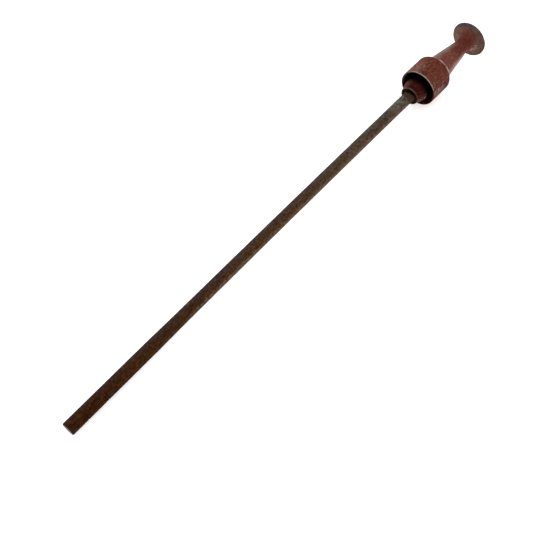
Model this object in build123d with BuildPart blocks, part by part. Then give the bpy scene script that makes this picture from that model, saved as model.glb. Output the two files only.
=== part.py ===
"""Hooded dip rod: a slim steel rod that hangs from a turned mushroom knob.

The rod's axis lies along +X and +Z is up. The origin is the centre of the rod's square-cut
lower end, and the knob is at the far end. A thin hood covers the mouth of the tube that the
rod dips into, and a tapered plug inside the hood stops that mouth. Sizes are in millimetres.
"""
from math import atan2, cos, degrees, radians, sin
import os

from build123d import *

# Driving dimensions: stations along the axis
NOSE_X = 185.4              # lower end of the ferrule, below the plug
MOUTH_X = 191.1             # open edge of the hood
CROWN_X = 203.2             # outer face of the hood's closed end
TOTAL_LENGTH = 229.8        # rod end to the top of the knob

# Rod
GAUGE_D = 5.0               # thicker lower stretch that carries the level marks
GAUGE_LENGTH = 38.0
SHANK_D = 4.75
SHANK_START = 52.0          # where the taper from the gauge stretch ends
TIP_CHAMFER = 0.25
MARK_STATIONS = (6.8, 14.9, 15.8)   # one low mark and a pair for the high mark
MARK_WIDTH = 0.3
MARK_DEPTH = 0.1

# Ferrule: a thin tube around the rod, with a flared end below the plug
FERRULE_D = 7.5
FERRULE_WALL = 0.45
FERRULE_LENGTH = 9.6
FLARE_D = 7.9
FLARE_LENGTH = 0.9
FLARE_RUN = 0.2             # axial length of the slope from flare to tube

# Brazing that fills the ferrule around the rod
RECESS_DEPTH = 0.8
MENISCUS = 0.3              # how far the middle of its face is drawn back

# Tapered plug, with a blunt lower end, and undercut behind its widest edge
PLUG_START_X = NOSE_X + 1.2
PLUG_START_D = 8.0
PLUG_SHOULDER_X = PLUG_START_X + 1.1
PLUG_SHOULDER_D = 9.3
PLUG_EDGE_X = PLUG_SHOULDER_X + 2.3
PLUG_EDGE_D = 10.2
PLUG_EDGE_THICKNESS = 0.4
UNDERCUT_D = 8.8

# Hood
HOOD_D = 15.9
HOOD_WALL = 0.6
HOOD_CROWN = 1.0            # thickness of the closed end
HOOD_CORNER = 1.3           # outer corner radius
HOOD_INNER_CORNER = 0.5
HOOD_LIP = 0.15             # bevel of the open edge

# Neck ring, knob and spigot
RING_D = 13.5
RING_THICKNESS = 1.4
RING_EDGE = 0.5             # rounding of both outer edges
SPIGOT_D = 6.0
SPIGOT_LENGTH = 6.8         # from the neck ring down into the plug
NECK_BASE_D = 11.33
NECK_TOP_D = 6.35
NECK_LENGTH = 18.0
KNOB_D = 15.7
RIM_THICKNESS = 0.5
UNDERSIDE_ANGLE = 80.0      # slope of the knob's underside where it meets the rim
DOME_HEIGHT = 0.95

# Worked out from the driving dimensions
SHANK_R = SHANK_D / 2
FERRULE_R = FERRULE_D / 2
FERRULE_BORE_R = FERRULE_R - FERRULE_WALL
FERRULE_END_X = NOSE_X + FERRULE_LENGTH
FLARE_R = FLARE_D / 2
FLARE_END_X = NOSE_X + FLARE_LENGTH
BRAZE_X = NOSE_X + RECESS_DEPTH
FLARE_BORE_R = FLARE_R - FERRULE_WALL
FLARE_RUN_END_X = FLARE_END_X + FLARE_RUN
HOOD_R = HOOD_D / 2
HOOD_BORE_R = HOOD_R - HOOD_WALL
HOOD_INNER_X = CROWN_X - HOOD_CROWN
RING_R = RING_D / 2
SPIGOT_R = SPIGOT_D / 2
NECK_X = CROWN_X + RING_THICKNESS
NECK_TOP_X = NECK_X + NECK_LENGTH
SPIGOT_END_X = CROWN_X - SPIGOT_LENGTH


def save(piece, node):
    """Label a finished piece and write its STEP file."""
    piece.part.label = node
    export_step(piece.part, f"parts/{node}.step")


# The rod, with its level marks as shallow turned grooves
with BuildPart() as dip_rod:
    with BuildSketch(Plane.XZ):
        with BuildLine():
            Polyline(
                (0, 0),
                (0, GAUGE_D / 2 - TIP_CHAMFER),
                (TIP_CHAMFER, GAUGE_D / 2),
                (GAUGE_LENGTH, GAUGE_D / 2),
                (SHANK_START, SHANK_R),
                (SPIGOT_END_X, SHANK_R),
                (SPIGOT_END_X, 0),
                close=True,
            )
        make_face()
        for mark_x in MARK_STATIONS:
            with BuildLine():
                Polyline(
                    (mark_x - MARK_WIDTH / 2, GAUGE_D / 2),
                    (mark_x, GAUGE_D / 2 - MARK_DEPTH),
                    (mark_x + MARK_WIDTH / 2, GAUGE_D / 2),
                    close=True,
                )
            make_face(mode=Mode.SUBTRACT)
    revolve(axis=Axis.X)

# The ferrule, flared at its lower end and let into the plug
with BuildPart() as ferrule:
    with BuildSketch(Plane.XZ):
        with BuildLine():
            Polyline(
                (NOSE_X, FLARE_BORE_R),
                (NOSE_X, FLARE_R),
                (FLARE_END_X, FLARE_R),
                (FLARE_RUN_END_X, FERRULE_R),
                (FERRULE_END_X, FERRULE_R),
                (FERRULE_END_X, FERRULE_BORE_R),
                (FLARE_RUN_END_X, FERRULE_BORE_R),
                (FLARE_END_X, FLARE_BORE_R),
                close=True,
            )
        make_face()
    revolve(axis=Axis.X)

# The brazing between rod and ferrule, with a hollow face at the nose
with BuildPart() as braze_ring:
    with BuildSketch(Plane.XZ):
        with BuildLine():
            ThreePointArc(
                (BRAZE_X, SHANK_R),
                (BRAZE_X + MENISCUS, (SHANK_R + FLARE_BORE_R) / 2),
                (BRAZE_X, FLARE_BORE_R),
            )
            Polyline(
                (BRAZE_X, FLARE_BORE_R),
                (FLARE_END_X, FLARE_BORE_R),
                (FLARE_RUN_END_X, FERRULE_BORE_R),
                (FERRULE_END_X, FERRULE_BORE_R),
                (FERRULE_END_X, SHANK_R),
                (BRAZE_X, SHANK_R),
            )
        make_face()
    revolve(axis=Axis.X)

# The tapered plug, bored for the ferrule, the rod and the knob's spigot
with BuildPart() as tapered_plug:
    with BuildSketch(Plane.XZ):
        with BuildLine():
            Polyline(
                (PLUG_START_X, FERRULE_R),
                (PLUG_START_X, PLUG_START_D / 2),
                (PLUG_SHOULDER_X, PLUG_SHOULDER_D / 2),
                (PLUG_EDGE_X, PLUG_EDGE_D / 2),
                (PLUG_EDGE_X + PLUG_EDGE_THICKNESS, PLUG_EDGE_D / 2),
                (PLUG_EDGE_X + PLUG_EDGE_THICKNESS, UNDERCUT_D / 2),
                (HOOD_INNER_X, UNDERCUT_D / 2),
                (HOOD_INNER_X, SPIGOT_R),
                (SPIGOT_END_X, SPIGOT_R),
                (SPIGOT_END_X, SHANK_R),
                (FERRULE_END_X, SHANK_R),
                (FERRULE_END_X, FERRULE_R),
                close=True,
            )
        make_face()
    revolve(axis=Axis.X)

# The hood, a thin cup that opens towards the rod's free end
with BuildPart() as hood:
    with BuildSketch(Plane.XZ):
        with BuildLine():
            Polyline(
                (MOUTH_X, HOOD_BORE_R),
                (MOUTH_X, HOOD_R - HOOD_LIP),
                (MOUTH_X + HOOD_LIP, HOOD_R),
                (CROWN_X - HOOD_CORNER, HOOD_R),
            )
            CenterArc(
                center=(CROWN_X - HOOD_CORNER, HOOD_R - HOOD_CORNER),
                radius=HOOD_CORNER, start_angle=0, arc_size=90,
            )
            Polyline(
                (CROWN_X, HOOD_R - HOOD_CORNER),
                (CROWN_X, SPIGOT_R),
                (HOOD_INNER_X, SPIGOT_R),
                (HOOD_INNER_X, HOOD_BORE_R - HOOD_INNER_CORNER),
            )
            CenterArc(
                center=(HOOD_INNER_X - HOOD_INNER_CORNER, HOOD_BORE_R - HOOD_INNER_CORNER),
                radius=HOOD_INNER_CORNER, start_angle=0, arc_size=90,
            )
            Line((HOOD_INNER_X - HOOD_INNER_CORNER, HOOD_BORE_R), (MOUTH_X, HOOD_BORE_R))
        make_face()
    revolve(axis=Axis.X)

# The ring that the knob's neck seats on, with a rounded outside
with BuildPart() as neck_ring:
    with BuildSketch(Plane.YZ.offset(CROWN_X)):
        Circle(RING_R)
        Circle(SPIGOT_R, mode=Mode.SUBTRACT)
    extrude(amount=RING_THICKNESS)
    outer_edges = neck_ring.edges().filter_by(GeomType.CIRCLE).sort_by(SortBy.RADIUS)[-2:]
    fillet(outer_edges, RING_EDGE)

# The knob: spigot, tapering neck, flared underside, thin rim and low dome
neck_angle = atan2((NECK_BASE_D - NECK_TOP_D) / 2, NECK_LENGTH)
rim_r = KNOB_D / 2 - RIM_THICKNESS / 2
underside_r = (rim_r - NECK_TOP_D / 2) / (cos(neck_angle) - cos(radians(UNDERSIDE_ANGLE)))
dome_x = TOTAL_LENGTH - DOME_HEIGHT
dome_r = (rim_r**2 + DOME_HEIGHT**2) / (2 * DOME_HEIGHT)

with BuildPart() as knob:
    with BuildSketch(Plane.XZ):
        with BuildLine():
            Polyline(
                (SPIGOT_END_X, 0),
                (SPIGOT_END_X, SPIGOT_R),
                (NECK_X, SPIGOT_R),
                (NECK_X, NECK_BASE_D / 2),
                (NECK_TOP_X, NECK_TOP_D / 2),
            )
            underside = JernArc(
                start=(NECK_TOP_X, NECK_TOP_D / 2),
                tangent=(cos(neck_angle), -sin(neck_angle)),
                radius=underside_r,
                arc_size=degrees(neck_angle) + UNDERSIDE_ANGLE,
            )
            rim = ThreePointArc(
                underside @ 1,
                (((underside @ 1).X + dome_x) / 2, KNOB_D / 2),
                (dome_x, rim_r),
            )
            dome = RadiusArc(rim @ 1, (TOTAL_LENGTH, 0), dome_r)
            Line(dome @ 1, (SPIGOT_END_X, 0))
        make_face()
    revolve(axis=Axis.X)

os.makedirs("parts", exist_ok=True)
save(dip_rod, "dip_rod")
save(ferrule, "ferrule")
save(braze_ring, "braze_ring")
save(tapered_plug, "tapered_plug")
save(hood, "hood")
save(neck_ring, "neck_ring")
save(knob, "knob")
print(f"underside radius {underside_r:.2f}, rim at {(underside @ 1).X:.2f}, dome radius {dome_r:.1f}")
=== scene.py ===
from math import acos, atan, cos, exp, pi, radians, sin, sqrt, tan

import bpy
from mathutils import Matrix, Vector, noise


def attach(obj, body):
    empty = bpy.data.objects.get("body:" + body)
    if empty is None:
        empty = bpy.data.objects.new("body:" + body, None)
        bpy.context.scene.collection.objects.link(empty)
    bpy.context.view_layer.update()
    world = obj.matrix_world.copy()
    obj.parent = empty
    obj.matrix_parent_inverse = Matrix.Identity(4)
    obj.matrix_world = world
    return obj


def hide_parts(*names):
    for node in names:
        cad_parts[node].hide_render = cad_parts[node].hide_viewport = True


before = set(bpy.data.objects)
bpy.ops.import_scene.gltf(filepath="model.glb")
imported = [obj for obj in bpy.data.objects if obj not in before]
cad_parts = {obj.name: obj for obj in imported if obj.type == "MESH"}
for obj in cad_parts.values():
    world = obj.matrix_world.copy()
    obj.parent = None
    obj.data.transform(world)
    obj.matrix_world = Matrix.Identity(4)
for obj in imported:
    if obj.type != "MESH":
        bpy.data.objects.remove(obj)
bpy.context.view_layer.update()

# Lengths are in millimetres, and MM turns them into metres. Only the camera's points and FLOOR_HALF
# are in metres already. X runs along the rod from its free end, and an angle goes round X from +Y,
# with 90 degrees at the top.
MM = 0.001
PER_MM = 1000.0             # turns a shader's metres into millimetres

# Sizes of the CAD parts
GAUGE_R, GAUGE_LENGTH, SHANK_R, SHANK_START = 2.5, 38.0, 2.375, 52.0
TIP_CHAMFER = 0.25
MARKS = (6.8, 14.9, 15.8)
NOSE_X, MOUTH_X, CROWN_X, TOP_X = 185.4, 191.1, 203.2, 229.8
FERRULE_R, FERRULE_BORE_R, FERRULE_END_X = 3.75, 3.3, 195.0
FLARE_R, FLARE_BORE_R, FLARE_END_X, FLARE_RUN_END_X = 3.95, 3.5, 186.3, 186.5
BRAZE_X, MENISCUS = 186.2, 0.3
PLUG_START_X, PLUG_START_R, PLUG_SHOULDER_X, PLUG_SHOULDER_R = 186.6, 4.0, 187.7, 4.65
PLUG_EDGE_X, PLUG_EDGE_R, PLUG_EDGE_END_X, UNDERCUT_R = 190.0, 5.1, 190.4, 4.4
HOOD_R, HOOD_BORE_R, HOOD_INNER_X, HOOD_CORNER = 7.95, 7.35, 202.2, 1.3
RING_R, RING_EDGE, NECK_X = 6.75, 0.5, 204.6
SPIGOT_R, SPIGOT_END_X = 3.0, 196.4
NECK_BASE_R, NECK_TOP_R, NECK_TOP_X = 5.665, 3.175, 222.6
KNOB_R, RIM_R, DOME_X = 7.85, 7.6, 228.85
UNDERSIDE_ANGLE = radians(80.0)

# The rod is bent sideways a little, and the head leans the same way from the brazing on
BOW, LEAN = 0.45, 0.0085

# The floor lies a little below the rod, clear of its rough surface, and glows like a light table
FLOOR_GAP = 0.04
FLOOR_HALF = 1.5
FLOOR_WHITE, FLOOR_GLOW = 0.95, 0.55

# The tent's brightness all round and towards the camera, and the cosines between which it changes
TENT_LIGHT, CAMERA_LIGHT = 1.25, 0.6
TENT_COSINE, CAMERA_COSINE = 0.55, 0.98

# The photo's camera
SENSOR = 36.0
CAMERA_AT = Vector((-0.02586, -0.13360, 0.22801))
CAMERA_AIM = Vector((0.08668, -0.01386, -0.005))
CAMERA_ROLL = radians(7.98)
LENS = 51.65


# ---------------------------------------------------------------- turned meshes

def rounded(corners, step, closed=False):
    """Points (x, r) along a profile, about step apart. A corner is (x, r) or (x, r, fillet radius)."""
    pts = [Vector(c[:2]) for c in corners]
    n = len(pts)
    path = []
    for i, (p, c) in enumerate(zip(pts, corners)):
        fillet = c[2] if len(c) > 2 else 0.0
        if fillet and (closed or 0 < i < n - 1):
            a = (pts[i - 1] - p).normalized()
            b = (pts[(i + 1) % n] - p).normalized()
            half = acos(max(-1.0, min(1.0, a.dot(b)))) / 2
            start, end = p + a * (fillet / tan(half)), p + b * (fillet / tan(half))
            centre = p + (a + b).normalized() * (fillet / sin(half))
            u, v = start - centre, end - centre
            sweep = pi - 2 * half
            count = max(3, int(fillet * sweep / step) + 2)
            for k in range(count + 1):
                t = k / count
                w = (u * sin((1 - t) * sweep) + v * sin(t * sweep)) / sin(sweep)
                path.append(centre + w)
        else:
            path.append(p)
    dense = []
    last = len(path) if closed else len(path) - 1
    for i in range(last):
        p, q = path[i], path[(i + 1) % len(path)]
        cuts = max(1, int((q - p).length / step))
        dense += [p.lerp(q, k / cuts) for k in range(cuts)]
    if not closed:
        dense.append(path[-1])
    return dense


def turned(name, profile, around, relief, closed=False):
    """A turned and slightly bent piece, from a profile walked with its outside on the left.

    relief(x, angle, r, point) gives how far a point stands out of the turned surface. A closed profile
    joins its last point to its first, and an open one starts and ends on the axis.
    """
    n = len(profile)
    rings, verts, faces = [], [], []
    for i, p in enumerate(profile):
        before = profile[i - 1] if closed or i else p
        after = profile[(i + 1) % n] if closed or i < n - 1 else p
        run = (after - before).normalized()
        out = Vector((-run.y, run.x))
        if p.y < 1e-6:
            rings.append([len(verts)])
            verts.append(Vector((p.x, 0, 0)))
            continue
        ring = []
        for j in range(around):
            t = 2 * pi * j / around
            c, s = cos(t), sin(t)
            at = Vector((p.x, p.y * c, p.y * s))
            d = relief(p.x, t, p.y, at)
            ring.append(len(verts))
            verts.append(at + Vector((out.x, out.y * c, out.y * s)) * d)
        rings.append(ring)
    pairs = list(zip(rings, rings[1:])) + ([(rings[-1], rings[0])] if closed else [])
    for a, b in pairs:
        for j in range(around):
            k = (j + 1) % around
            if len(a) == 1:
                faces.append((a[0], b[k], b[j]))
            elif len(b) == 1:
                faces.append((a[j], a[k], b[0]))
            else:
                faces.append((a[j], a[k], b[k], b[j]))
    for v in verts:
        v.y += BOW * sin(pi * min(v.x, BRAZE_X) / TOP_X) - LEAN * max(0.0, v.x - BRAZE_X)
    mesh = bpy.data.meshes.new(name)
    mesh.from_pydata([v * MM for v in verts], [], faces)
    mesh.polygons.foreach_set("use_smooth", [True] * len(mesh.polygons))
    mesh.set_sharp_from_angle(angle=radians(50))
    mesh.update()
    obj = bpy.data.objects.new(name, mesh)
    bpy.context.scene.collection.objects.link(obj)
    return obj


def grain(at, size, octaves, shift=0.0):
    """Smooth noise of about -1 to 1, whose largest features measure size."""
    return noise.fractal(at / size + Vector((shift, shift, shift)), 0.8, 2.1, octaves)


def pits(at, size, level, shift):
    """0 where the noise is below level, rising to 1 in scattered pits."""
    return max(0.0, min(1.0, (grain(at, size, 2, shift) - level) / 0.25))


def dent(x, t, r, dents):
    """Depth of shallow dents, each (x, angle in degrees, width, depth)."""
    depth = 0.0
    for dx, angle, width, deep in dents:
        turn = (t - radians(angle) + pi) % (2 * pi) - pi
        far = ((x - dx) ** 2 + (turn * r) ** 2) / width ** 2
        if far < 9:
            depth += deep * exp(-far)
    return depth


# ---------------------------------------------------------------- finishes

def colour(red, green, blue):
    """A colour from its 0 to 255 screen values, as the linear values that a shader takes."""
    shares = [v / 255 for v in (red, green, blue)]
    return tuple(((v + 0.055) / 1.055) ** 2.4 if v > 0.04045 else v / 12.92 for v in shares) + (1.0,)


class Finish:
    """A procedural finish, built on one Principled shader from patterns measured in millimetres."""

    def __init__(self, name, specular):
        self.material = bpy.data.materials.new(name)
        self.material.use_nodes = True
        self.tree = self.material.node_tree
        self.shader = self.tree.nodes["Principled BSDF"]
        self.shader.inputs["Specular IOR Level"].default_value = specular
        coords = self.tree.nodes.new("ShaderNodeTexCoord")
        parts = self.tree.nodes.new("ShaderNodeSeparateXYZ")
        self.link(self.vector("MULTIPLY", coords.outputs["Object"], (PER_MM,) * 3), parts.inputs[0])

        # Patterns are laid on the piece as it was before it was bent
        self.x, bent_y, self.z = parts.outputs
        bow = self.both(self.math("SINE", self.both(self.math("MINIMUM", self.x, BRAZE_X), pi / TOP_X)), BOW)
        lean = self.both(self.math("MAXIMUM", self.math("SUBTRACT", self.x, BRAZE_X), 0.0), LEAN)
        self.y = self.math("ADD", self.math("SUBTRACT", bent_y, bow), lean)
        straight = self.tree.nodes.new("ShaderNodeCombineXYZ")
        for value, socket in zip((self.x, self.y, self.z), straight.inputs):
            self.link(value, socket)
        self.point = straight.outputs[0]
        across = self.vector("MULTIPLY", self.point, (0.0, 1.0, 1.0))
        length = self.tree.nodes.new("ShaderNodeVectorMath")
        length.operation = "LENGTH"
        self.link(across, length.inputs[0])
        self.radius = length.outputs["Value"]

    def link(self, value, socket):
        if isinstance(value, bpy.types.NodeSocket):
            self.tree.links.new(value, socket)
        else:
            socket.default_value = value

    def vector(self, operation, a, b):
        node = self.tree.nodes.new("ShaderNodeVectorMath")
        node.operation = operation
        self.link(a, node.inputs[0])
        self.link(b, node.inputs[1])
        return node.outputs[0]

    def math(self, operation, a, b=0.0):
        node = self.tree.nodes.new("ShaderNodeMath")
        node.operation = operation
        self.link(a, node.inputs[0])
        self.link(b, node.inputs[1])
        return node.outputs[0]

    def noise(self, size, detail, rough=0.55, stretch=1.0, shift=0.0):
        """Noise of 0 to 1 whose features are size across the axis, and stretch times as long along it."""
        mapped = self.vector("MULTIPLY", self.point, (1 / size / stretch, 1 / size, 1 / size))
        moved = self.vector("ADD", mapped, (shift, shift * 1.7, shift * 2.3))
        node = self.tree.nodes.new("ShaderNodeTexNoise")
        node.inputs["Scale"].default_value = 1.0
        node.inputs["Detail"].default_value = detail
        node.inputs["Roughness"].default_value = rough
        self.link(moved, node.inputs["Vector"])
        return node.outputs[0]

    def step(self, value, low, high):
        """0 below low, 1 above high and smooth between. With low above high it falls."""
        node = self.tree.nodes.new("ShaderNodeMapRange")
        node.interpolation_type = "SMOOTHSTEP"
        start, end = (1.0, 0.0) if low > high else (0.0, 1.0)
        for socket, v in zip(node.inputs[:5], (value, min(low, high), max(low, high), start, end)):
            self.link(v, socket)
        return node.outputs[0]

    def scale(self, value, to_low, to_high):
        """A value of 0 to 1 spread over to_low to to_high."""
        node = self.tree.nodes.new("ShaderNodeMapRange")
        for socket, v in zip(node.inputs[:5], (value, 0.0, 1.0, to_low, to_high)):
            self.link(v, socket)
        return node.outputs[0]

    def mix(self, share, a, b, blend="MIX"):
        node = self.tree.nodes.new("ShaderNodeMix")
        node.data_type = "RGBA"
        node.blend_type = blend
        self.link(share, node.inputs[0])
        self.link(a, node.inputs[6])
        self.link(b, node.inputs[7])
        return node.outputs[2]

    def shade(self, base, value, low, high):
        """base made darker or lighter, by low where noise is weak and by high where it is strong."""
        grey = self.tree.nodes.new("ShaderNodeCombineColor")
        amount = self.scale(self.step(value, 0.38, 0.62), low, high)
        for socket in grey.inputs[:3]:
            self.link(amount, socket)
        return self.mix(1.0, base, grey.outputs[0], "MULTIPLY")

    def both(self, a, b):
        return self.math("MULTIPLY", a, b)

    def side(self, angle, spread):
        """1 on the side that faces angle, falling to 0 round the piece, on the far side if spread is 1."""
        a = radians(angle)
        dot = self.math("ADD", self.math("MULTIPLY", self.y, cos(a)), self.math("MULTIPLY", self.z, sin(a)))
        share = self.math("DIVIDE", dot, self.math("MAXIMUM", self.radius, 0.1))
        return self.step(share, 1.0 - 2.0 * spread, 1.0)

    def done(self, base, roughness, height, depth, metallic=None):
        """Connects the finish. height runs from 0 to 1 over depth millimetres."""
        self.link(base, self.shader.inputs["Base Color"])
        self.link(roughness, self.shader.inputs["Roughness"])
        if metallic is not None:
            self.link(metallic, self.shader.inputs["Metallic"])
        bump = self.tree.nodes.new("ShaderNodeBump")
        bump.inputs["Distance"].default_value = depth * MM
        bump.inputs["Strength"].default_value = 1.0
        self.link(height, bump.inputs["Height"])
        self.link(bump.outputs[0], self.shader.inputs["Normal"])
        return self.material


def rod_finish():
    f = Finish("rod_steel", 0.02)
    wander = f.noise(9.0, 3.0, shift=3.0)
    along = f.math("ADD", f.x, f.scale(wander, -30.0, 30.0))
    base = f.mix(f.step(along, 0.0, 40.0), colour(50, 20, 1), colour(53, 32, 14))
    base = f.mix(f.step(along, 55.0, 90.0), base, colour(70, 47, 25))
    base = f.mix(f.step(along, 100.0, 165.0), base, colour(75, 60, 45))
    hue = f.noise(1.6, 5.0, 0.65, stretch=1.3, shift=11.0)
    orange = f.both(f.step(hue, 0.51, 0.6), f.scale(f.step(f.x, 70.0, 140.0), 0.75, 0.2))
    base = f.mix(orange, base, colour(74, 38, 12))
    olive = f.both(f.step(hue, 0.48, 0.39), f.scale(f.step(f.x, 20.0, 60.0), 0.25, 0.6))
    base = f.mix(olive, base, colour(50, 44, 26))
    # Painted sheen: grey patches along the rod's upper side, a reflection of the light painted in.
    patchy = f.noise(1.2, 5.0, 0.65, stretch=1.4, shift=13.0)
    sheen_above = f.math("ADD", f.side(48.0, 0.45), f.scale(patchy, -1.4, 1.2))
    sheen_above = f.both(f.step(sheen_above, 0.15, 1.0), f.scale(f.step(f.x, 10.0, 70.0), 0.3, 0.75))
    base = f.mix(sheen_above, base, f.mix(f.step(f.x, 100.0, 180.0), colour(58, 52, 54), colour(80, 80, 78)))
    # Painted light: a paler brown along the rod's underside, for light thrown up from the floor.
    patchy = f.noise(1.1, 5.0, 0.65, stretch=1.4, shift=17.0)
    bounce_light_below = f.math("ADD", f.side(205.0, 0.45), f.scale(patchy, -1.5, 1.1))
    bounce_light_below = f.both(f.step(bounce_light_below, 0.1, 0.8), f.step(along, 40.0, 70.0))
    base = f.mix(f.both(bounce_light_below, 0.85), base, colour(96, 76, 60))
    fine = f.noise(0.7, 5.0, 0.75, stretch=1.2, shift=15.0)
    base = f.shade(base, fine, 0.56, 1.44)
    streak = f.noise(0.5, 4.0, 0.6, stretch=8.0, shift=5.0)
    bare = f.both(f.step(streak, 0.55, 0.66), f.scale(f.step(f.x, 30.0, 120.0), 0.05, 0.5))
    base = f.mix(bare, base, colour(104, 92, 78))
    dark = f.step(f.noise(0.8, 4.0, 0.6, stretch=1.2, shift=31.0), 0.57, 0.68)
    base = f.mix(f.both(dark, 0.7), base, colour(26, 14, 6))
    green = f.both(f.step(f.x, 170.0, 177.0), f.step(f.noise(1.6, 5.0, shift=41.0), 0.4, 0.54))
    green = f.both(green, f.scale(f.side(170.0, 0.18), 0.85, 0.2))
    base = f.mix(green, base, colour(98, 100, 88))
    stain = f.step(f.math("ADD", f.x, f.scale(f.noise(1.2, 4.0, shift=43.0), -3.0, 3.0)), 180.9, 182.6)
    base = f.mix(f.both(stain, 0.9), base, colour(58, 40, 29))
    # Rust and painted shade: the rod turns near black where it goes into the ferrule, sooner on its upper
    # side.
    deep = f.step(f.math("ADD", f.x, f.scale(f.side(85.0, 0.4), -0.4, 0.8)), 184.9, 185.8)
    base = f.mix(deep, base, colour(24, 12, 5))
    for mark in MARKS:
        far = f.math("ABSOLUTE", f.math("ADD", f.x, f.scale(fine, -mark - 0.3, -mark + 0.3)))
        dark = f.both(f.step(far, 0.42, 0.12), f.scale(f.side(190.0, 0.6), 0.3, 0.85))
        base = f.mix(dark, base, colour(34, 12, 4))
    tip = f.step(f.math("ADD", f.x, f.scale(hue, -1.5, 1.5)), 1.3, 0.2)
    base = f.mix(f.both(tip, 0.85), base, colour(40, 32, 28))
    sawn = f.step(f.noise(0.5, 5.0, 0.7, shift=47.0), 0.4, 0.6)
    sawn = f.mix(sawn, colour(92, 74, 60), colour(156, 146, 136))
    base = f.mix(f.step(f.x, 0.1, 0.02), base, f.mix(f.step(f.radius, 1.7, 2.2), sawn, colour(86, 62, 46)))
    rough = f.scale(f.noise(0.6, 4.0, shift=51.0), 0.6, 0.9)
    height = f.math("ADD", f.both(fine, 0.7), f.both(streak, 0.4))
    return f.done(base, rough, height, 0.08, f.both(bare, 0.3))


def paint(f, base, shift, scuff_side, depth=0.3):
    """Old red oxide paint over base: cloudy, speckled, and scuffed most where scuff_side is 1."""
    cloud = f.noise(2.6, 4.0, 0.6, shift=shift)
    base = f.shade(base, cloud, 1.0 - depth / 2, 1.0 + depth / 2)
    fine = f.noise(0.9, 5.0, 0.75, shift=shift + 7.0)
    base = f.shade(base, fine, 1.0 - depth, 1.0 + depth)
    scuff = f.step(f.noise(0.8, 6.0, 0.75, stretch=1.3, shift=shift + 13.0), 0.52, 0.66)
    scuff = f.both(scuff, f.scale(scuff_side, 0.15, 0.9))
    base = f.mix(scuff, base, colour(146, 108, 96))
    speck = f.step(f.noise(0.7, 3.0, 0.6, shift=shift + 19.0), 0.58, 0.7)
    base = f.mix(f.both(speck, 2.0 * depth), base, colour(44, 18, 14))
    return base, f.math("ADD", f.both(fine, 0.6), f.both(cloud, 0.4))


def hood_finish():
    f = Finish("hood_paint", 0.03)
    cloud = f.step(f.noise(1.8, 5.0, 0.6, shift=71.0), 0.43, 0.57)
    base = f.mix(cloud, colour(96, 42, 34), colour(86, 46, 28))
    low = f.math("MAXIMUM", f.side(185.0, 0.4), f.both(f.side(70.0, 0.3), 0.7))
    base, height = paint(f, base, 2.0, low, depth=0.36)
    # Pale scuffs with a painted highlight, on the hood's upper side.
    patchy = f.noise(1.0, 5.0, 0.7, stretch=1.5, shift=73.0)
    rubbed_and_lit = f.math("ADD", patchy, f.scale(f.side(66.0, 0.14), -0.25, 0.08))
    rubbed_and_lit = f.both(f.step(rubbed_and_lit, 0.46, 0.64), f.step(f.x, 200.0, 196.0))
    base = f.mix(f.both(rubbed_and_lit, 0.4), base, colour(146, 116, 102))
    # Pale chips with a painted highlight, along the lower side of the hood.
    patchy = f.noise(1.0, 5.0, 0.7, stretch=1.5, shift=75.0)
    chips_and_glint = f.math("ADD", patchy, f.scale(f.side(192.0, 0.1), -0.25, 0.1))
    chips_and_glint = f.both(f.step(chips_and_glint, 0.46, 0.62), f.step(f.x, 201.0, 195.0))
    base = f.mix(f.both(chips_and_glint, 0.6), base, colour(168, 140, 128))
    # Painted shade: a dark band on the hood's shoulder, just below the bead.
    crease_shade_x = f.math("ADD", f.x, f.scale(f.noise(1.1, 4.0, 0.6, shift=77.0), -0.7, 0.7))
    base = f.mix(f.both(f.step(crease_shade_x, CROWN_X - 0.65, CROWN_X - 0.2), 0.75), base, colour(46, 24, 20))
    ragged = f.math("ADD", f.x, f.scale(f.noise(0.8, 4.0, shift=81.0), -0.5, 0.5))
    lip = f.both(f.step(ragged, MOUTH_X + 0.5, MOUTH_X + 0.2), f.side(110.0, 0.4))
    base = f.mix(f.both(lip, 0.95), base, colour(152, 142, 132))
    # Painted shade inside the hood: the inner wall is near black, with paler rust spots lit on its lower
    # side and painted light near the mouth on its upper side.
    reach = f.math("ADD", f.radius, f.scale(f.side(105.0, 0.5), -0.2, 0.02))
    inner = f.step(reach, HOOD_R - 0.1, HOOD_R - 0.28)
    inside = f.both(inner, f.step(f.x, CROWN_X - 0.1, CROWN_X - 0.3))
    rust_and_lit_spots = f.both(f.step(f.noise(1.1, 5.0, 0.6, shift=91.0), 0.4, 0.56), f.side(225.0, 0.4))
    inner_shade = f.mix(rust_and_lit_spots, colour(12, 4, 4), colour(74, 34, 12))
    lit = f.both(f.side(32.0, 0.16), f.step(f.x, MOUTH_X + 5.0, MOUTH_X + 0.5))
    inner_shade = f.mix(lit, inner_shade, colour(80, 77, 68))
    base = f.mix(inside, base, inner_shade)
    rough = f.scale(f.noise(0.7, 4.0, shift=101.0), 0.45, 0.75)
    return f.done(base, rough, height, 0.1)


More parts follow.
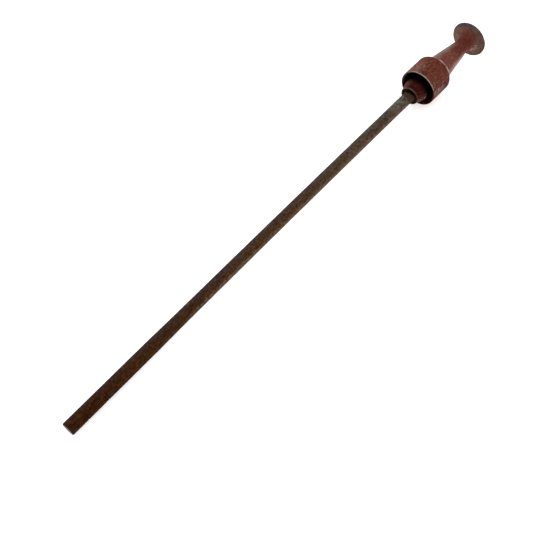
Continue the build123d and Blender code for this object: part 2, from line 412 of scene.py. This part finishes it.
def knob_finish():
    f = Finish("knob_paint", 0.05)
    red = f.mix(f.step(f.x, 211.0, 217.0), colour(108, 58, 48), colour(92, 41, 33))
    cloud = f.step(f.noise(2.8, 3.0, 0.5, shift=111.0), 0.4, 0.6)
    worn = f.mix(cloud, colour(100, 72, 58), colour(88, 66, 56))
    worn = f.mix(f.both(f.side(60.0, 0.5), f.step(f.radius, 5.5, 7.0)), worn, colour(74, 66, 68))
    worn = f.mix(f.both(f.side(0.0, 0.2), f.step(f.radius, 5.0, 6.5)), worn, colour(112, 86, 72))
    reach = f.math("ADD", f.radius, f.scale(f.noise(2.4, 4.0, 0.5, shift=121.0), -1.6, 1.6))
    reach = f.math("SUBTRACT", reach, f.both(f.side(110.0, 0.35), 1.1))
    out = f.both(f.step(reach, 2.6, 5.4), f.step(f.x, 222.0, 225.0))
    base = f.mix(out, red, worn)
    sides = f.math("MAXIMUM", f.side(165.0, 0.4), f.side(65.0, 0.4))
    base, height = paint(f, base, 4.0, f.both(sides, f.step(f.x, 217.0, 206.0)), depth=0.26)
    turning = f.both(f.noise(0.7, 2.0, 0.5, shift=131.0), 2.5)
    lines = f.math("SINE", f.math("ADD", f.both(f.radius, 9.0), turning))
    lines = f.both(f.step(lines, 0.0, 0.9), f.both(f.step(f.radius, 4.8, 5.8), f.step(f.radius, 7.6, 7.3)))
    base = f.mix(f.both(lines, 0.4), base, colour(56, 38, 30))
    # Painted sheen: pale streaks along the neck's upper side.
    sheen_streaks = f.step(f.noise(1.3, 5.0, 0.65, stretch=2.0, shift=137.0), 0.38, 0.56)
    sheen_streaks = f.both(f.scale(sheen_streaks, 0.3, 0.9), f.step(f.x, 221.5, 216.0))
    base = f.mix(f.both(f.side(42.0, 0.26), sheen_streaks), base, colour(132, 112, 108))
    # Painted highlight: pale flecks on the lower side where the neck flares out into the knob.
    flare_glints = f.both(f.step(f.noise(0.8, 4.0, 0.7, shift=139.0), 0.48, 0.58), f.side(206.0, 0.12))
    flare_glints = f.both(flare_glints, f.both(f.step(f.radius, 3.3, 3.7), f.step(f.radius, 5.4, 4.4)))
    base = f.mix(f.both(f.both(flare_glints, 0.7), f.step(f.x, 222.0, 224.0)), base, colour(168, 134, 118))
    # Painted highlight: the same streaks, paler, along the neck's lower side.
    base = f.mix(f.both(f.side(205.0, 0.2), sheen_streaks), base, colour(158, 132, 124))
    rough = f.scale(f.noise(0.7, 4.0, shift=141.0), 0.45, 0.75)
    return f.done(base, rough, height, 0.08)


def ring_finish():
    f = Finish("ring_paint", 0.05)
    rim = f.step(f.radius, RING_R - 1.0, RING_R - 0.3)
    worn = f.both(f.scale(f.step(f.noise(2.2, 5.0, 0.7, shift=151.0), 0.46, 0.56), 0.2, 1.0), rim)
    base = f.mix(worn, colour(100, 54, 46), colour(176, 140, 128))
    # Painted shade: the bead darkens where it sits against the hood.
    base = f.mix(f.step(f.x, CROWN_X + 0.45, CROWN_X + 0.1), base, colour(50, 26, 22))
    base, height = paint(f, base, 6.0, worn)
    return f.done(base, f.scale(worn, 0.65, 0.5), height, 0.06)


def plug_finish():
    f = Finish("plug_paint", 0.01)
    cloud = f.step(f.noise(2.0, 5.0, 0.6, shift=161.0), 0.4, 0.6)
    base = f.mix(cloud, colour(58, 13, 9), colour(50, 19, 12))
    low = f.side(225.0, 0.3)
    base, height = paint(f, base, 8.0, low)
    # Painted reflection: paler pink on the cone's upper side.
    reflection_upper = f.both(f.side(36.0, 0.16), f.step(f.noise(0.9, 5.0, 0.65, shift=167.0), 0.3, 0.6))
    base = f.mix(f.both(reflection_upper, 0.8), base, colour(104, 72, 68))
    reach = f.math("ADD", f.x, f.scale(f.noise(1.2, 4.0, 0.6, shift=163.0), -0.9, 0.9))
    shade = f.both(f.step(reach, 187.8, 190.0), f.scale(low, 0.9, 0.0))
    base = f.mix(shade, base, colour(22, 4, 3))
    # Pale worn flecks on the cone's lower side, partly painted light from the floor.
    worn_and_lit_flecks = f.both(f.step(f.noise(0.8, 4.0, 0.7, shift=165.0), 0.5, 0.6), low)
    base = f.mix(f.both(worn_and_lit_flecks, 0.7), base, colour(142, 108, 92))
    # Painted shade: the plug turns black past its edge, inside the hood.
    deep = f.step(f.x, PLUG_EDGE_X + 0.05, PLUG_EDGE_X + 0.25)
    base = f.mix(deep, base, colour(10, 4, 4))
    rough = f.scale(f.noise(0.6, 4.0, shift=171.0), 0.45, 0.75)
    return f.done(base, rough, height, 0.08)


def ferrule_finish():
    f = Finish("ferrule_steel", 0.06)
    stain = f.step(f.noise(0.9, 5.0, 0.6, shift=181.0), 0.42, 0.6)
    red = f.mix(stain, colour(70, 34, 27), colour(52, 24, 17))
    grey = f.mix(stain, colour(84, 84, 74), colour(60, 56, 48))
    base = f.mix(f.side(355.0, 0.25), red, grey)
    # A pale worn edge with a painted highlight, round the upper side of the nose.
    worn_edge_highlight = f.both(f.step(f.x, NOSE_X + 0.25, NOSE_X + 0.05), f.side(80.0, 0.35))
    base = f.mix(f.both(worn_edge_highlight, 0.85), base, colour(124, 104, 96))
    # Inside the nose: dark brown, with painted shade making it near black on its upper front side.
    inside = f.step(f.radius, FLARE_R - 0.18, FLARE_R - 0.3)
    base = f.mix(inside, base, f.mix(f.side(150.0, 0.6), colour(60, 42, 30), colour(30, 16, 7)))
    rough = f.scale(f.noise(0.5, 4.0, shift=191.0), 0.45, 0.75)
    height = f.noise(0.4, 4.0, 0.6, shift=201.0)
    return f.done(base, rough, height, 0.06, f.scale(stain, 0.2, 0.0))


def braze_finish():
    f = Finish("braze_brass", 0.02)
    stain = f.step(f.noise(0.9, 5.0, 0.6, shift=211.0), 0.4, 0.6)
    base = f.mix(stain, colour(64, 39, 29), colour(38, 21, 13))
    # Painted shade: the brazing darkens on its upper front side, under the nose's rim.
    base = f.mix(f.side(125.0, 0.6), base, colour(22, 11, 4))
    height = f.noise(0.4, 4.0, 0.6, shift=221.0)
    return f.done(base, f.scale(height, 0.5, 0.8), height, 0.08)


# ---------------------------------------------------------------- pieces

def rod():
    corners = [
        (0.0, 0.0),
        (0.0, GAUGE_R - TIP_CHAMFER, 0.08),
        (TIP_CHAMFER, GAUGE_R, 0.15),
        (GAUGE_LENGTH, GAUGE_R, 20.0),
        (SHANK_START, SHANK_R, 20.0),
        (SPIGOT_END_X, SHANK_R),
        (SPIGOT_END_X, 0.0),
    ]
    mark_side, mark_depth, mark_width = radians(195.0), 0.16, 0.13

    def relief(x, t, r, at):
        if x > BRAZE_X - 0.5 or r < 0.5:
            return 0.0
        side = max(0.0, cos(t - mark_side) + 0.45)
        marks = sum(mark_depth * min(1.0, side) * exp(-((x - m) / mark_width) ** 2) for m in MARKS)
        along = Vector((at.x / 5, at.y, at.z))
        scale = 0.02 * grain(along, 0.8, 4)
        fade = min(1.0, x / 0.5, (BRAZE_X - 0.5 - x) / 2)
        return fade * (scale - marks - 0.04 * pits(at, 0.7, 0.35, 9.0))

    return turned("rusty_rod", rounded(corners, 0.25), 96, relief)


def ferrule():
    corners = [
        (NOSE_X, FLARE_BORE_R, 0.1),
        (NOSE_X, FLARE_R, 0.18),
        (FLARE_END_X, FLARE_R, 0.2),
        (FLARE_RUN_END_X, FERRULE_R, 0.1),
        (FERRULE_END_X, FERRULE_R),
        (FERRULE_END_X, FERRULE_BORE_R),
        (FLARE_RUN_END_X, FERRULE_BORE_R, 0.1),
        (FLARE_END_X, FLARE_BORE_R, 0.1),
    ]

    def relief(x, t, r, at):
        if x > PLUG_START_X - 0.1:
            return 0.0
        nick = dent(x, t, r, ((NOSE_X, 205.0, 0.5, 0.14), (NOSE_X, 80.0, 0.4, 0.1)))
        return 0.02 * (grain(at, 0.9, 3, 4.0) - 1.0) - nick

    return turned("ferrule_tube", rounded(corners, 0.12, True), 144, relief, True)


def brazing():
    mid = (SHANK_R + FLARE_BORE_R) / 2
    half = (FLARE_BORE_R - SHANK_R) / 2
    across = [k / 6 for k in range(-6, 6)]
    face = [Vector((BRAZE_X + MENISCUS * (1 - k ** 2), mid + half * k)) for k in across]
    rest = rounded([
        (BRAZE_X, FLARE_BORE_R), (FLARE_END_X, FLARE_BORE_R), (FLARE_RUN_END_X, FERRULE_BORE_R),
        (FERRULE_END_X, FERRULE_BORE_R), (FERRULE_END_X, SHANK_R), (BRAZE_X, SHANK_R)], 0.3)

    def relief(x, t, r, at):
        inner = min(r - SHANK_R, FLARE_BORE_R - r) / half
        return 0.12 * inner * (grain(at, 0.9, 3, 6.0) - 0.4) if x < BRAZE_X + MENISCUS + 0.01 else 0.0

    return turned("brazing", face + rest[:-1], 120, relief, True)


def plug():
    corners = [
        (PLUG_START_X, FERRULE_R),
        (PLUG_START_X, PLUG_START_R, 0.12),
        (PLUG_SHOULDER_X, PLUG_SHOULDER_R, 1.0),
        (PLUG_EDGE_X, PLUG_EDGE_R, 0.1),
        (PLUG_EDGE_END_X, PLUG_EDGE_R, 0.1),
        (PLUG_EDGE_END_X, UNDERCUT_R, 0.2),
        (HOOD_INNER_X, UNDERCUT_R),
        (HOOD_INNER_X, SPIGOT_R),
        (SPIGOT_END_X, SPIGOT_R),
        (SPIGOT_END_X, SHANK_R),
        (FERRULE_END_X, SHANK_R),
        (FERRULE_END_X, FERRULE_R),
    ]
    dents = ((PLUG_START_X, 215.0, 0.7, 0.12), (189.6, 170.0, 0.6, 0.08), (PLUG_EDGE_X, 130.0, 0.5, 0.06))

    def relief(x, t, r, at):
        if r < PLUG_START_R - 0.05 or x > PLUG_EDGE_END_X + 0.3:
            return 0.0
        return 0.02 * (grain(at, 1.1, 4, 2.0) - 1.0) - dent(x, t, r, dents)

    return turned("plug_cone", rounded(corners, 0.15, True), 168, relief, True)


def hood():
    corners = [
        (MOUTH_X, HOOD_BORE_R, 0.12),
        (MOUTH_X, HOOD_R, 0.3),
        (CROWN_X, HOOD_R, HOOD_CORNER),
        (CROWN_X, SPIGOT_R),
        (HOOD_INNER_X, SPIGOT_R),
        (HOOD_INNER_X, HOOD_BORE_R, 0.5),
    ]
    dents = (
        (193.5, 150.0, 1.3, 0.07), (197.8, 120.0, 1.6, 0.06), (201.4, 95.0, 1.0, 0.07),
        (199.0, 175.0, 1.1, 0.06), (195.2, 60.0, 1.4, 0.05), (196.0, 260.0, 1.5, 0.06),
        (200.0, 310.0, 1.2, 0.06), (MOUTH_X, 165.0, 0.5, 0.12), (MOUTH_X, 118.0, 0.35, 0.1),
        (MOUTH_X, 48.0, 0.45, 0.1),
    )

    def relief(x, t, r, at):
        if r < RING_R - RING_EDGE or (HOOD_INNER_X - 0.05 < x < CROWN_X - 0.4 and r < HOOD_BORE_R):
            return 0.0
        return 0.018 * (grain(at, 1.3, 4, 1.0) - 1.0) - dent(x, t, r, dents) - 0.03 * pits(at, 0.8, 0.4, 5.0)

    return turned("hood_cup", rounded(corners, 0.2, True), 240, relief, True)


def neck_ring():
    corners = [
        (CROWN_X, SPIGOT_R),
        (CROWN_X, RING_R, RING_EDGE),
        (NECK_X, RING_R, RING_EDGE),
        (NECK_X, SPIGOT_R),
    ]
    dents = ((204.2, 116.0, 0.7, 0.12), (204.2, 60.0, 0.8, 0.1))

    def relief(x, t, r, at):
        if r < NECK_BASE_R:
            return 0.0
        return 0.05 * (grain(at, 1.2, 4, 8.0) - 1.0) - dent(x, t, r, dents)

    return turned("neck_bead", rounded(corners, 0.1, True), 180, relief, True)


def knob():
    angle = atan((NECK_BASE_R - NECK_TOP_R) / (NECK_TOP_X - NECK_X))
    underside_r = (RIM_R - NECK_TOP_R) / (cos(angle) - cos(UNDERSIDE_ANGLE))
    centre = Vector((NECK_TOP_X + underside_r * sin(angle), NECK_TOP_R + underside_r * cos(angle)))
    flare_steps, rim_steps, dome_steps = 44, 8, 36
    flare = []
    for k in range(1, flare_steps + 1):
        a = -angle + (angle + UNDERSIDE_ANGLE) * k / flare_steps
        flare.append(centre + Vector((sin(a), -cos(a))) * underside_r)
    rim = []
    mid = (flare[-1].x + DOME_X) / 2
    half = (DOME_X - flare[-1].x) / 2
    for k in range(1, rim_steps):
        a = pi * k / rim_steps
        rim.append(Vector((mid - half * cos(a), RIM_R + (KNOB_R - RIM_R) * sin(a))))
    dome_r = (RIM_R ** 2 + (TOP_X - DOME_X) ** 2) / 2 / (TOP_X - DOME_X)
    dome = []
    for k in range(dome_steps + 1):
        r = RIM_R * (1 - k / dome_steps)
        dome.append(Vector((TOP_X - dome_r + sqrt(dome_r ** 2 - r ** 2), r)))
    neck = rounded(
        [(SPIGOT_END_X, 0.0), (SPIGOT_END_X, SPIGOT_R), (NECK_X, SPIGOT_R),
         (NECK_X, NECK_BASE_R, 0.15), (NECK_TOP_X, NECK_TOP_R)], 0.25)
    dents = (
        (207.5, 130.0, 0.9, 0.07), (211.0, 160.0, 1.0, 0.05), (209.0, 95.0, 0.8, 0.05),
        (228.5, 150.0, 0.6, 0.08), (228.4, 75.0, 0.7, 0.07), (228.6, 300.0, 0.7, 0.08),
    )
    line_depth, line_gap = 0.012, 0.55

    def relief(x, t, r, at):
        if x < NECK_X + 0.05:
            return 0.0
        lathe_lines = line_depth * sin(2 * pi * r / line_gap) if x > NECK_TOP_X + 2 else 0.0
        return 0.018 * (grain(at, 1.2, 4, 3.0) - 1.0) - line_depth + lathe_lines - dent(x, t, r, dents)

    return turned("mushroom_knob", neck + flare + rim + dome, 200, relief)


def place(obj, node, material):
    obj.data.materials.append(material)
    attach(obj, "root")
    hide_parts(node)


# ---------------------------------------------------------------- scene

def camera():
    data = bpy.data.cameras.new("camera")
    data.lens = LENS
    data.sensor_width = SENSOR
    obj = bpy.data.objects.new("camera", data)
    bpy.context.scene.collection.objects.link(obj)
    look = (CAMERA_AIM - CAMERA_AT).to_track_quat("-Z", "Y").to_matrix().to_4x4()
    obj.matrix_world = Matrix.Translation(CAMERA_AT) @ look @ Matrix.Rotation(-CAMERA_ROLL, 4, "Z")
    bpy.context.scene.camera = obj


def floor():
    """A white light table, tilted to lie just under the rod's end and the hood's mouth."""
    half = FLOOR_HALF
    corners = [(-half, -half, 0), (half, -half, 0), (half, half, 0), (-half, half, 0)]
    mesh = bpy.data.meshes.new("floor")
    mesh.from_pydata(corners, [], [(0, 1, 2, 3)])
    obj = bpy.data.objects.new("floor", mesh)
    bpy.context.scene.collection.objects.link(obj)
    obj.location = (0, 0, -(GAUGE_R + FLOOR_GAP) * MM)
    obj.rotation_euler = (0, atan((HOOD_R - GAUGE_R) / MOUTH_X), 0)
    material = bpy.data.materials.new("floor")
    material.use_nodes = True
    shader = material.node_tree.nodes["Principled BSDF"]
    shader.inputs["Base Color"].default_value = (FLOOR_WHITE, FLOOR_WHITE, FLOOR_WHITE, 1)
    shader.inputs["Roughness"].default_value = 1.0
    shader.inputs["Specular IOR Level"].default_value = 0.0
    shader.inputs["Emission Color"].default_value = (1, 1, 1, 1)
    shader.inputs["Emission Strength"].default_value = FLOOR_GLOW
    mesh.materials.append(material)


def light():
    """A white tent all round, less bright where the camera looks in."""
    world = bpy.data.worlds.new("tent")
    world.use_nodes = True
    nodes, links = world.node_tree.nodes, world.node_tree.links
    background = nodes["Background"]
    background.inputs["Color"].default_value = (1, 1, 1, 1)
    coords = nodes.new("ShaderNodeTexCoord")
    dot = nodes.new("ShaderNodeVectorMath")
    dot.operation = "DOT_PRODUCT"
    dot.inputs[1].default_value = (CAMERA_AT - CAMERA_AIM).normalized()
    links.new(coords.outputs["Generated"], dot.inputs[0])
    spread = nodes.new("ShaderNodeMapRange")
    spread.interpolation_type = "SMOOTHSTEP"
    limits = (TENT_COSINE, CAMERA_COSINE, TENT_LIGHT, CAMERA_LIGHT)
    for socket, v in zip(spread.inputs[1:5], limits):
        socket.default_value = v
    links.new(dot.outputs["Value"], spread.inputs[0])
    links.new(spread.outputs[0], background.inputs["Strength"])
    bpy.context.scene.world = world


camera()
floor()
light()
place(rod(), "dip_rod", rod_finish())
place(ferrule(), "ferrule", ferrule_finish())
place(brazing(), "braze_ring", braze_finish())
place(plug(), "tapered_plug", plug_finish())
place(hood(), "hood", hood_finish())
place(neck_ring(), "neck_ring", ring_finish())
place(knob(), "knob", knob_finish())
bpy.context.scene.view_settings.view_transform = "Standard"
